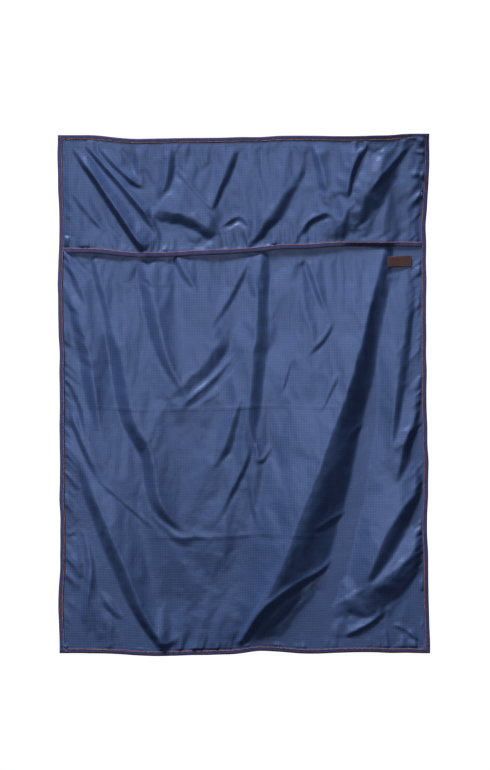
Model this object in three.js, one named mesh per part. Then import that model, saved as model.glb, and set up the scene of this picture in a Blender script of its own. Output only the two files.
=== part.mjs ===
// An envelope garment bag of ripstop nylon: a back panel, a front panel with an open mouth at its top, and a
// flap that hangs over the mouth. Grosgrain tape binds every edge, and each tape is sewn down with a needle
// thread in front and a bobbin thread behind.
// Millimetres. +X is to the right as seen from the front, -Y is the front and +Z is up.
// The origin is the middle of the top edge, halfway through the bound seam.
import * as THREE from "three";

// Driving dimensions
const WIDTH = 714;
const HEIGHT = 1000;
const FLAP_DROP = 220; // top edge to the lower edge of the flap's hem
const MOUTH_DROP = 100; // top edge to the front panel's bound mouth
const TAPE_WIDTH = 9.5; // of one leg, once the tape is folded over an edge
const TAPE_THICK = 0.6;
const SEAM_THICK = 3.5; // through a bound outer edge
const SEAM_INSET = 1.5; // from the outside of a tape's fold to the cloth's cut edge
const LAYER_PITCH = 0.7; // from one layer of cloth to the next inside a seam
const LAYER_THICK = 0.5; // of the cloth inside the seams
const FIELD_THICK = 1; // of the cloth outside the seams
const FRONT_BULGE = 22; // how far each panel's flat middle stands off its seams
const BACK_BULGE = 5;
const FLAP_BULGE = 27.5;
const SLOPE = 60; // width of the sloping border between a seam and the flat middle
const FLAP_TOP_SLOPE = 80;
const SLOPE_STEPS = 3;
const CLEARANCE = 0.8; // between the moving flap and the tapes beside it
const GAP = 0.3; // between pieces that lie against each other
const MOUTH_TAPE_INSET = 4; // from a side tape to the end of the mouth's tape
const THREAD = { width: 0.7, thick: 0.3 };
const GROOVE = { width: 1.1, depth: 0.4, inset: 1.6 }; // in a tape's leg, under the thread
const LABEL = { width: 47, height: 21, x: 305, z: -242, thick: 1.2, threadInset: 2 };
const FOLD_SEGMENTS = 5; // round each face of a tape's fold

// Derived dimensions
const HALF_WIDTH = WIDTH / 2;
const FIELD_HALF = HALF_WIDTH - TAPE_WIDTH; // from the middle to the inner edge of a side tape
const FIELD_BOTTOM = -HEIGHT + TAPE_WIDTH;
const FIELD_TOP = -TAPE_WIDTH;
const CUT_HALF = HALF_WIDTH - SEAM_INSET;
const CUT_BOTTOM = -HEIGHT + SEAM_INSET;
const CUT_TOP = -SEAM_INSET;
const MOUTH_CUT = -MOUTH_DROP - SEAM_INSET;
const FLAP_HALF = FIELD_HALF - CLEARANCE;
const FLAP_TOP = FIELD_TOP - CLEARANCE;
const FLAP_CUT = -FLAP_DROP + SEAM_INSET;
const BACK_LAYER = LAYER_PITCH; // y of the middle of each layer of cloth in the seams
const FRONT_LAYER = 0;
const FLAP_LAYER = -LAYER_PITCH;
const LAYER_GAP = LAYER_PITCH - LAYER_THICK;
const FREE_THICK = FIELD_THICK + 2 * (TAPE_THICK + LAYER_GAP); // through the bound mouth or hem
const FLAP_RIM = FRONT_LAYER - LAYER_THICK / 2 - LAYER_GAP - TAPE_THICK - GAP; // y of the flap's inner rim

// Materials
function soft(color, roughness) {
  return new THREE.MeshStandardMaterial({ color, roughness, metalness: 0 });
}
const RIPSTOP_NYLON = soft(0x3f4f80, 0.5);
const GROSGRAIN_TAPE = soft(0x3a3a68, 0.8);
const COPPER_THREAD = soft(0x8a5238, 0.7);
const BROWN_LEATHER = soft(0x4e2d27, 0.6);

const bag = new THREE.Group();
function add(name, geometry, material) {
  const mesh = new THREE.Mesh(geometry, material);
  mesh.name = name;
  bag.add(mesh);
}

// How far across a sloping border a place is: 0 on the seam and 1 on the flat middle.
const share = (distance, slope) => THREE.MathUtils.clamp(distance / slope, 0, 1);
const rise = (part) => Math.sin((part * Math.PI) / 2);
const sideShare = (x) => share(FIELD_HALF - Math.abs(x), SLOPE);
const frontShare = (x, z) => Math.min(sideShare(x), share(z - FIELD_BOTTOM, SLOPE));
const backShare = (x, z) => Math.min(frontShare(x, z), share(FIELD_TOP - z, SLOPE));
const flapShare = (x, z) => Math.min(sideShare(x), share(FLAP_TOP - z, FLAP_TOP_SLOPE));
const clothThick = (part) => THREE.MathUtils.lerp(LAYER_THICK, FIELD_THICK, part);

// The panels' two faces, as y over x and z.
const frontOuter = (x, z) => FRONT_LAYER - LAYER_THICK / 2 - FRONT_BULGE * rise(frontShare(x, z));
const frontInner = (x, z) => frontOuter(x, z) + clothThick(frontShare(x, z));
const backOuter = (x, z) => BACK_LAYER + LAYER_THICK / 2 + BACK_BULGE * rise(backShare(x, z));
const backInner = (x, z) => backOuter(x, z) - clothThick(backShare(x, z));
const flapInner = (x, z) => FLAP_RIM - FLAP_BULGE * rise(flapShare(x, z));
const flapOuter = (x, z) => flapInner(x, z) - FIELD_THICK;

// Where a sloping border bends, from its low end to its high end.
function bends(from, to) {
  return Array.from({ length: SLOPE_STEPS + 1 }, (_, i) => THREE.MathUtils.lerp(from, to, i / SLOPE_STEPS));
}
const LEFT_BENDS = bends(-FIELD_HALF, -FIELD_HALF + SLOPE);
const RIGHT_BENDS = bends(FIELD_HALF - SLOPE, FIELD_HALF);
const BOTTOM_BENDS = bends(FIELD_BOTTOM, FIELD_BOTTOM + SLOPE);
const TOP_BENDS = bends(FIELD_TOP - SLOPE, FIELD_TOP);

// A sheet over a grid of xs and zs, from the face y = front(x, z) to the face y = back(x, z) behind it.
// Each cell is folded along the diagonal that stands further out in front.
function sheet(xs, zs, front, back) {
  const points = [];
  for (const face of [front, back])
    for (const z of zs) for (const x of xs) points.push(x, face(x, z), z);
  const at = (i, j, layer) => (layer * zs.length + j) * xs.length + i;
  const faces = [];
  const quad = (a, b, c, d) => faces.push(a, b, c, a, c, d);
  for (let j = 0; j + 1 < zs.length; j++)
    for (let i = 0; i + 1 < xs.length; i++) {
      const cell = [[i, j], [i + 1, j], [i + 1, j + 1], [i, j + 1]];
      const [a, b, c, d] = cell.map(([k, l]) => front(xs[k], zs[l]));
      if (b + d < a + c) cell.push(cell.shift());
      quad(...cell.map(([k, l]) => at(k, l, 0)));
      quad(...cell.reverse().map(([k, l]) => at(k, l, 1)));
    }
  const right = xs.length - 1;
  const top = zs.length - 1;
  const rim = [];
  for (let i = 0; i < right; i++) rim.push([i, 0]);
  for (let j = 0; j < top; j++) rim.push([right, j]);
  for (let i = right; i > 0; i--) rim.push([i, top]);
  for (let j = top; j > 0; j--) rim.push([0, j]);
  rim.forEach(([i, j], n) => {
    const [k, l] = rim[(n + 1) % rim.length];
    quad(at(k, l, 0), at(i, j, 0), at(i, j, 1), at(k, l, 1));
  });
  const geometry = new THREE.BufferGeometry();
  geometry.setAttribute("position", new THREE.Float32BufferAttribute(points, 3));
  geometry.setIndex(faces);
  return geometry;
}

const panelXs = [-CUT_HALF, ...LEFT_BENDS, ...RIGHT_BENDS, CUT_HALF];
add("back_panel", sheet(panelXs, [CUT_BOTTOM, ...BOTTOM_BENDS, ...TOP_BENDS, CUT_TOP], backInner, backOuter),
  RIPSTOP_NYLON);
add("front_panel", sheet(panelXs, [CUT_BOTTOM, ...BOTTOM_BENDS, MOUTH_CUT], frontOuter, frontInner),
  RIPSTOP_NYLON);

// The flap is one piece of cloth in two nodes: the field that lifts, and the seam allowance round its top and
// sides, which stays between the other layers inside the tapes.
const flapXs = [-FLAP_HALF, ...LEFT_BENDS.slice(1), ...RIGHT_BENDS.slice(0, -1), FLAP_HALF];
const flapZs = [FLAP_CUT, ...bends(FLAP_TOP - FLAP_TOP_SLOPE, FLAP_TOP)];
add("flap_panel", sheet(flapXs, flapZs, flapOuter, flapInner), RIPSTOP_NYLON);

const allowance = new THREE.Shape();
allowance.moveTo(-CUT_HALF, -FLAP_DROP);
allowance.lineTo(-FIELD_HALF, -FLAP_DROP);
allowance.lineTo(-FIELD_HALF, FIELD_TOP);
allowance.lineTo(FIELD_HALF, FIELD_TOP);
allowance.lineTo(FIELD_HALF, -FLAP_DROP);
allowance.lineTo(CUT_HALF, -FLAP_DROP);
allowance.lineTo(CUT_HALF, CUT_TOP);
allowance.lineTo(-CUT_HALF, CUT_TOP);
const allowanceSolid = new THREE.ExtrudeGeometry(allowance, { depth: LAYER_THICK, bevelEnabled: false });
allowanceSolid.rotateX(Math.PI / 2);
allowanceSolid.translate(0, FLAP_LAYER + LAYER_THICK / 2, 0);
add("flap_seam_allowance", allowanceSolid, RIPSTOP_NYLON);

// The section of a folded tape, with x across the tape and y through it: a C with its fold at x = fold and its
// legs reaching TAPE_WIDTH onto the cloth, which lies on the side that inward (1 or -1) gives.
function tapeSection(fold, inward, thick) {
  const outer = thick / 2;
  const inner = outer - TAPE_THICK;
  const centre = fold + inward * outer;
  const edge = fold + inward * TAPE_WIDTH;
  const grooveNear = edge - inward * GROOVE.inset;
  const grooveFar = grooveNear - inward * GROOVE.width;
  const legFace = (y, floor) => [
    [edge, y],
    [grooveNear, y],
    [grooveNear, floor],
    [grooveFar, floor],
    [grooveFar, y],
    [centre, y],
  ];
  const front = legFace(-outer, -outer + GROOVE.depth);
  const back = legFace(outer, outer - GROOVE.depth).reverse();
  const clockwise = inward > 0;
  const section = new THREE.Shape();
  section.moveTo(...front[0]);
  for (const point of front.slice(1)) section.lineTo(...point);
  section.absarc(centre, 0, outer, -Math.PI / 2, Math.PI / 2, clockwise);
  for (const point of back.slice(1)) section.lineTo(...point);
  section.lineTo(edge, inner);
  section.lineTo(centre, inner);
  section.absarc(centre, 0, inner, Math.PI / 2, -Math.PI / 2, !clockwise);
  section.lineTo(edge, -inner);
  return section;
}

// The section of the thread in one leg's groove, flush with the tape. side is -1 in front and 1 behind.
function threadSection(fold, inward, thick, side) {
  const middle = fold + inward * (TAPE_WIDTH - GROOVE.inset - GROOVE.width / 2);
  const face = (side * thick) / 2;
  const floor = face - side * THREAD.thick;
  const section = new THREE.Shape();
  section.moveTo(middle - THREAD.width / 2, face);
  section.lineTo(middle + THREAD.width / 2, face);
  section.lineTo(middle + THREAD.width / 2, floor);
  section.lineTo(middle - THREAD.width / 2, floor);
  return section;
}

// A section carried along stations, each [place along the edge, y of the seam's middle]. direction is "across"
// for an edge that runs along x and "down" for one that runs along z.
function alongEdge(section, stations, direction) {
  const steps = stations.length - 1;
  const options = { depth: steps, steps, bevelEnabled: false, curveSegments: FOLD_SEGMENTS };
  const geometry = new THREE.ExtrudeGeometry(section, options);
  const position = geometry.getAttribute("position");
  for (let n = 0; n < position.count; n++) {
    const [place, middle] = stations[Math.round(position.getZ(n))];
    const across = position.getX(n);
    const y = position.getY(n) + middle;
    if (direction === "across") position.setXYZ(n, place, y, across);
    else position.setXYZ(n, across, y, place);
  }
  if (direction === "across") turnFacesRound(position); // exchanging x and z mirrors the extrusion
  return geometry;
}

function turnFacesRound(position) {
  const second = new THREE.Vector3();
  const third = new THREE.Vector3();
  for (let n = 0; n < position.count; n += 3) {
    second.fromBufferAttribute(position, n + 1);
    third.fromBufferAttribute(position, n + 2);
    position.setXYZ(n + 1, ...third);
    position.setXYZ(n + 2, ...second);
  }
}

function boundEdge(name, fold, inward, thick, stations, direction) {
  const tape = tapeSection(fold, inward, thick);
  const needle = threadSection(fold, inward, thick, -1);
  const bobbin = threadSection(fold, inward, thick, 1);
  add(`${name}_binding`, alongEdge(tape, stations, direction), GROSGRAIN_TAPE);
  add(`${name}_needle_thread`, alongEdge(needle, stations, direction), COPPER_THREAD);
  add(`${name}_bobbin_thread`, alongEdge(bobbin, stations, direction), COPPER_THREAD);
}

// The four outer edges. The top and bottom tapes run the full width, past the ends of the side tapes.
const fullWidth = [[-HALF_WIDTH, 0], [HALF_WIDTH, 0]];
const betweenTapes = [[FIELD_BOTTOM + GAP, 0], [FIELD_TOP - GAP, 0]];
boundEdge("top", 0, -1, SEAM_THICK, fullWidth, "across");
boundEdge("bottom", -HEIGHT, 1, SEAM_THICK, fullWidth, "across");
boundEdge("left", -HALF_WIDTH, 1, SEAM_THICK, betweenTapes, "down");
boundEdge("right", HALF_WIDTH, -1, SEAM_THICK, betweenTapes, "down");

// The two free edges, whose tapes follow the bulge of their cloth.
function freeEdge(half, middle) {
  const inside = [...LEFT_BENDS, ...RIGHT_BENDS].filter((x) => Math.abs(x) < half);
  return [-half, ...inside, half].map((x) => [x, middle(x)]);
}
const mouthMiddle = (x) => (frontOuter(x, MOUTH_CUT) + frontInner(x, MOUTH_CUT)) / 2;
const hemMiddle = (x) => (flapOuter(x, FLAP_CUT) + flapInner(x, FLAP_CUT)) / 2;
const mouthStations = freeEdge(FIELD_HALF - MOUTH_TAPE_INSET, mouthMiddle);
boundEdge("mouth", -MOUTH_DROP, -1, FREE_THICK, mouthStations, "across");
boundEdge("hem", -FLAP_DROP, 1, FREE_THICK, freeEdge(FLAP_HALF, hemMiddle), "across");

// A thin piece that lies on the front panel, its back standoff in front of the panel's face.
function onFrontPanel(name, centreX, width, height, standoff, thick, material) {
  const low = centreX - width / 2;
  const high = centreX + width / 2;
  const xs = [low, ...RIGHT_BENDS.filter((x) => x > low && x < high), high];
  const zs = [LABEL.z - height / 2, LABEL.z + height / 2];
  const back = (x, z) => frontOuter(x, z) - standoff;
  add(name, sheet(xs, zs, (x, z) => back(x, z) - thick, back), material);
}
onFrontPanel("leather_label", LABEL.x, LABEL.width, LABEL.height, GAP, LABEL.thick, BROWN_LEATHER);
for (const [end, sign] of [["left", -1], ["right", 1]]) {
  const x = LABEL.x + sign * (LABEL.width / 2 - LABEL.threadInset);
  const height = LABEL.height - 2 * LABEL.threadInset;
  const standoff = LABEL.thick + 2 * GAP;
  onFrontPanel(`label_thread_${end}`, x, THREAD.width, height, standoff, THREAD.thick, COPPER_THREAD);
}

export default bag;
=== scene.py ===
"""The looks of the envelope garment bag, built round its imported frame. Metres, +Z up, the front faces -Y.

Every soft piece is first laid out on the flat pattern of the bag: x across from the middle, z up from the top
edge, so negative on the bag, and y through the cloth, with the front at negative y. drape() then carries it
onto the real bag, whose edges wave a little.
"""
import math

import bpy
import numpy as np
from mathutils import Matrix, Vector


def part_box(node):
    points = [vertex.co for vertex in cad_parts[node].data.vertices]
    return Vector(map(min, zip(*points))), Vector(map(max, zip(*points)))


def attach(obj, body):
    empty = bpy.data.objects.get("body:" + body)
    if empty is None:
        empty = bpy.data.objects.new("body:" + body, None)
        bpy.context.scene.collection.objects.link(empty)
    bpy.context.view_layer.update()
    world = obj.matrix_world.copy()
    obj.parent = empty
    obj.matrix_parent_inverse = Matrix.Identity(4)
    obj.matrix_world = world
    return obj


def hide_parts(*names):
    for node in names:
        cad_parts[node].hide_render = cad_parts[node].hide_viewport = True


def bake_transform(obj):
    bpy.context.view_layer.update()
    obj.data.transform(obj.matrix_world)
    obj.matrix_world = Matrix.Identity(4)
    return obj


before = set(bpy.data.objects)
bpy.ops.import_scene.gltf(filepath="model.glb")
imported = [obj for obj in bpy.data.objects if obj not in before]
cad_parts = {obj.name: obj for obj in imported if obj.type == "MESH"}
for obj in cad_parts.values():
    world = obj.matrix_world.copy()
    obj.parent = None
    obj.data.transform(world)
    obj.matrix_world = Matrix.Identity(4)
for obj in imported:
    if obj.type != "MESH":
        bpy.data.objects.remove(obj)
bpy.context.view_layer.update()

# ---------------- sizes from the frame
MM = 0.001
top_low, top_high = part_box("top_binding")
HALF = top_high.x
TAPE = top_high.z - top_low.z
SEAM_THICK = top_high.y - top_low.y
HEIGHT = -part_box("bottom_binding")[0].z
FLAP_DROP = -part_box("hem_binding")[0].z
MOUTH_DROP = -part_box("mouth_binding")[1].z
FIELD_HALF = HALF - TAPE
CUT_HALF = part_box("back_panel")[1].x
CUT_INSET = HALF - CUT_HALF

CLOTH = 0.3 * MM  # thickness of one layer of ripstop
TAPE_THICK = 0.55 * MM
LAYER = 0.7 * MM  # from one layer to the next inside a seam
FREE_THICK = CLOTH + 2 * TAPE_THICK + 0.3 * MM  # through the bound mouth or hem
FRONT_CROWN = 13 * MM  # how far the middle of each panel stands off its seams
BACK_CROWN = 4 * MM
FLAP_CROWN = 9 * MM
CROWN_REACH = 60 * MM  # how far from a side seam the crown has mostly risen
LOW_REACH = 150 * MM  # the same above the front panel's bottom seam
FLAP_REACH = 90 * MM  # the same below the top seam, from which the flap hangs
RIPSTOP_PITCH = 5 * MM


def add_object(name, data):
    made = bpy.data.objects.new(name, data)
    bpy.context.scene.collection.objects.link(made)
    return made


# ---------------- smooth helpers
def smooth(t):
    t = np.clip(t, 0, 1)
    return t * t * (3 - 2 * t)


def through(points, s):
    """Smooth values at s along (place, value) pairs, flat at both ends."""
    places, values = (np.array(column, float) for column in zip(*points))
    i = np.clip(np.searchsorted(places, s) - 1, 0, len(places) - 2)
    share = smooth((s - places[i]) / (places[i + 1] - places[i]))
    return values[i] + (values[i + 1] - values[i]) * share


def ripple(s, pitch, seed):
    """Irregular smooth noise from -1 to 1 along s, with its bumps about pitch apart."""
    knots = np.random.default_rng(seed).uniform(-1, 1, 1024)
    place = s / pitch + 300
    cell = np.floor(place).astype(int)
    return knots[cell % 1024] + (knots[(cell + 1) % 1024] - knots[cell % 1024]) * smooth(place - cell)


def soft_max(a, b, width):
    """The larger of a and b, rounded off over width where they meet."""
    return (a + b + np.sqrt((a - b) ** 2 + width**2)) / 2


def nearest(*distances):
    return np.minimum.reduce(distances)


def waves(x, z, length, count, seed):
    """Soft two-way noise, about -1 to 1: a sum of sine waves about length long in many directions."""
    draw = np.random.default_rng(seed)
    total = np.zeros_like(x)
    for _ in range(count):
        turn, phase = draw.uniform(0, 2 * math.pi, 2)
        size = length * draw.uniform(0.6, 1.6)
        along = x * math.cos(turn) + z * math.sin(turn)
        total += np.sin(2 * math.pi * along / size + phase)
    return total / math.sqrt(count)


# ---------------- the bag's waving outline
# (place along the edge as a share, outward offset in mm)
LEFT_WAVE = [(0, 1.5), (0.04, 3), (0.17, -0.5), (0.31, 3), (0.45, -0.5), (0.7, -0.5), (0.79, -2.5),
             (0.9, 1.5), (1, 0)]
RIGHT_WAVE = [(0, 0), (0.04, 2), (0.17, -3), (0.31, -2), (0.5, -1.5), (0.65, 2), (0.75, 0), (0.85, 2),
              (1, 5)]
TOP_WAVE = [(0, 4), (0.06, 4), (0.22, -4), (0.38, -2), (0.5, 0), (0.62, 2), (0.8, 0), (1, 4)]
BOTTOM_WAVE = [(0, -1), (0.1, 0), (0.28, 5), (0.45, 2), (0.54, -4.5), (0.68, 0), (0.82, -2.5), (1, 0)]
# lower edge of the hem, in mm below its nominal place
HEM_WAVE = [(0, 5), (0.04, 6), (0.26, 8), (0.48, 4), (0.65, -3), (0.77, -9), (0.88, -8), (1, -5)]
EDGE_RIPPLE = 0.8  # mm, the small waves of each edge
EDGE_RIPPLE_PITCH = 0.035
DRIFT = 1.2 * MM  # how far the seams stray from the flat
DRIFT_LENGTH = 0.5
CORNER_LEAN = 29 * MM  # how far the top right corner leans forward, and over what height
LEAN_REACH = 0.25
CORNER_CURL = 6 * MM  # how much further its seam curls forward
CURL_REACH = 24 * MM
LEFT_SHARE = 0.5  # how much of the lean is left at the left half of the top edge


def drape(points):
    """Carries points from the flat pattern onto the waving bag."""
    x, y, z = np.asarray(points, float).T
    across = np.clip((x / HALF + 1) / 2, 0, 1)
    down = np.clip(-z / HEIGHT, 0, 1)
    right = through(RIGHT_WAVE, down) + EDGE_RIPPLE * ripple(z, EDGE_RIPPLE_PITCH, 5)
    left = through(LEFT_WAVE, down) + EDGE_RIPPLE * ripple(z, EDGE_RIPPLE_PITCH, 6)
    top = through(TOP_WAVE, across) + EDGE_RIPPLE * ripple(x, EDGE_RIPPLE_PITCH, 7)
    bottom = through(BOTTOM_WAVE, across) + EDGE_RIPPLE * ripple(x, EDGE_RIPPLE_PITCH, 8)
    new_x = x + MM * (across * right - (1 - across) * left)
    new_z = z + MM * ((1 - down) * top - down * bottom)
    lean = CORNER_LEAN * np.clip(1 + z / LEAN_REACH, 0, 1) ** 1.5 + CORNER_CURL * np.exp(z / CURL_REACH)
    to_right = smooth((x / HALF - 0.1) / 0.7)
    new_y = y + DRIFT * waves(x, z, DRIFT_LENGTH, 5, 3) - lean * (LEFT_SHARE + (1 - LEFT_SHARE) * to_right)
    return np.column_stack([new_x, new_y, new_z])


def hang_hem(points):
    """Stretches the flat flap down or up to its waving hem, then drapes it."""
    points = np.array(points, float)
    across = np.clip((points[:, 0] / HALF + 1) / 2, 0, 1)
    points[:, 2] *= 1 + MM * through(HEM_WAVE, across) / FLAP_DROP
    return drape(points)


# ---------------- folds
def fold(points, height, lit, shaded, lean=1.0, fade=(0.3, 0.3), above=0.55):
    """One fold, whose crest runs from left to right.

    Below and to the right of the crest the cloth falls away quickly, in shade, into a shallow hollow, and
    climbs out of the hollow slowly. On the other side it falls away slowly, in the light. points are (share
    of the half width from the middle, share of the height down). height is from hollow to crest, and lit and
    shaded are the widths of the two sides. All three are in mm, and a list runs evenly along the crest. lean
    puts the steepest part near the crest (under 1) or near the hollow (over 1). fade is the share of the
    length over which each end dies away, and above the share of the height above the cloth round it.
    """
    return {"points": points, "height": height, "lit": lit, "shaded": shaded, "lean": lean, "fade": fade,
            "above": above}


FLAP_FOLDS = [
    # the long fold out of the top left corner, and the softer ones beside it
    fold([(-0.97, 0.00), (-0.80, 0.076), (-0.68, 0.136), (-0.50, 0.222)],
         [8, 22, 23, 15], 34, [11, 18, 18, 13], 0.9, (0.34, 0.1)),
    fold([(-0.90, 0.00), (-0.70, 0.070), (-0.55, 0.13), (-0.43, 0.192)],
         [6, 15, 15, 10], 26, [8, 14, 15, 12], 1.0, (0.32, 0.3)),
    fold([(-0.83, 0.00), (-0.68, 0.050), (-0.56, 0.084), (-0.46, 0.097)],
         [4, 9, 9, 4], 30, [9, 15, 14, 8], 1.1, (0.4, 0.3)),
    fold([(-0.575, 0.00), (-0.56, 0.04), (-0.555, 0.075)], [4, 6, 3], 40, 13, 1.5, (0.35, 0.25)),
    fold([(-0.96, 0.079), (-0.85, 0.14), (-0.71, 0.184)], 3.5, 22, 12),
    # the crisp crease and the broad dark hollow under it
    fold([(-0.43, 0.030), (-0.32, 0.076), (-0.20, 0.124), (-0.11, 0.163)], [1.5, 2.6, 2.2, 1.5], 14, 4, 0.7),
    fold([(-0.62, 0.124), (-0.47, 0.133), (-0.29, 0.143), (-0.10, 0.185)],
         [3, 12, 16, 10], 110, [14, 34, 38, 26], 1.1, (0.45, 0.2), 0.42),
    fold([(-0.50, 0.108), (-0.43, 0.080), (-0.40, 0.010)], [4, 7, 5], 34, 20, 1.3),
    fold([(-0.18, 0.140), (-0.12, 0.078), (-0.03, 0.006)], [4, 7, 5], 44, [8, 18, 16], 1.4, (0.15, 0.2)),
    fold([(-0.13, 0.170), (-0.02, 0.150), (0.07, 0.178)], 4, 16, 10, 0.8),
    # the middle ridge and the hollow beside it
    fold([(0.02, 0.215), (0.13, 0.152), (0.25, 0.096), (0.35, 0.030)],
         [5, 9, 9, 5], 60, [12, 30, 34, 24], 1.2, (0.15, 0.2)),
    fold([(0.37, 0.004), (0.41, 0.043), (0.44, 0.085), (0.47, 0.115)],
         [3, 8, 8, 5], 40, [8, 16, 22, 18], 1.3, (0.3, 0.25)),
    fold([(0.28, 0.210), (0.35, 0.168), (0.45, 0.152), (0.52, 0.165)], [2, 5, 5, 2], 18, 13, 0.9),
    fold([(0.56, 0.128), (0.58, 0.066), (0.66, 0.004)], [5, 10, 6], 40, [6, 13, 16], 1.2, (0.15, 0.15)),
    # folds that run into the top right corner
    fold([(0.46, 0.212), (0.64, 0.110), (0.83, 0.008)],
         [9, 18, 16], 120, [60, 84, 60], 1.0, (0.2, 0.35), 0.7),
    fold([(0.66, 0.120), (0.78, 0.062), (0.93, 0.008)], [2, 4.5, 4], 18, 12),
    fold([(0.74, 0.215), (0.84, 0.140), (0.97, 0.035)], [4, 7, 5], 30, [18, 22, 12], 1.2),
]
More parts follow.
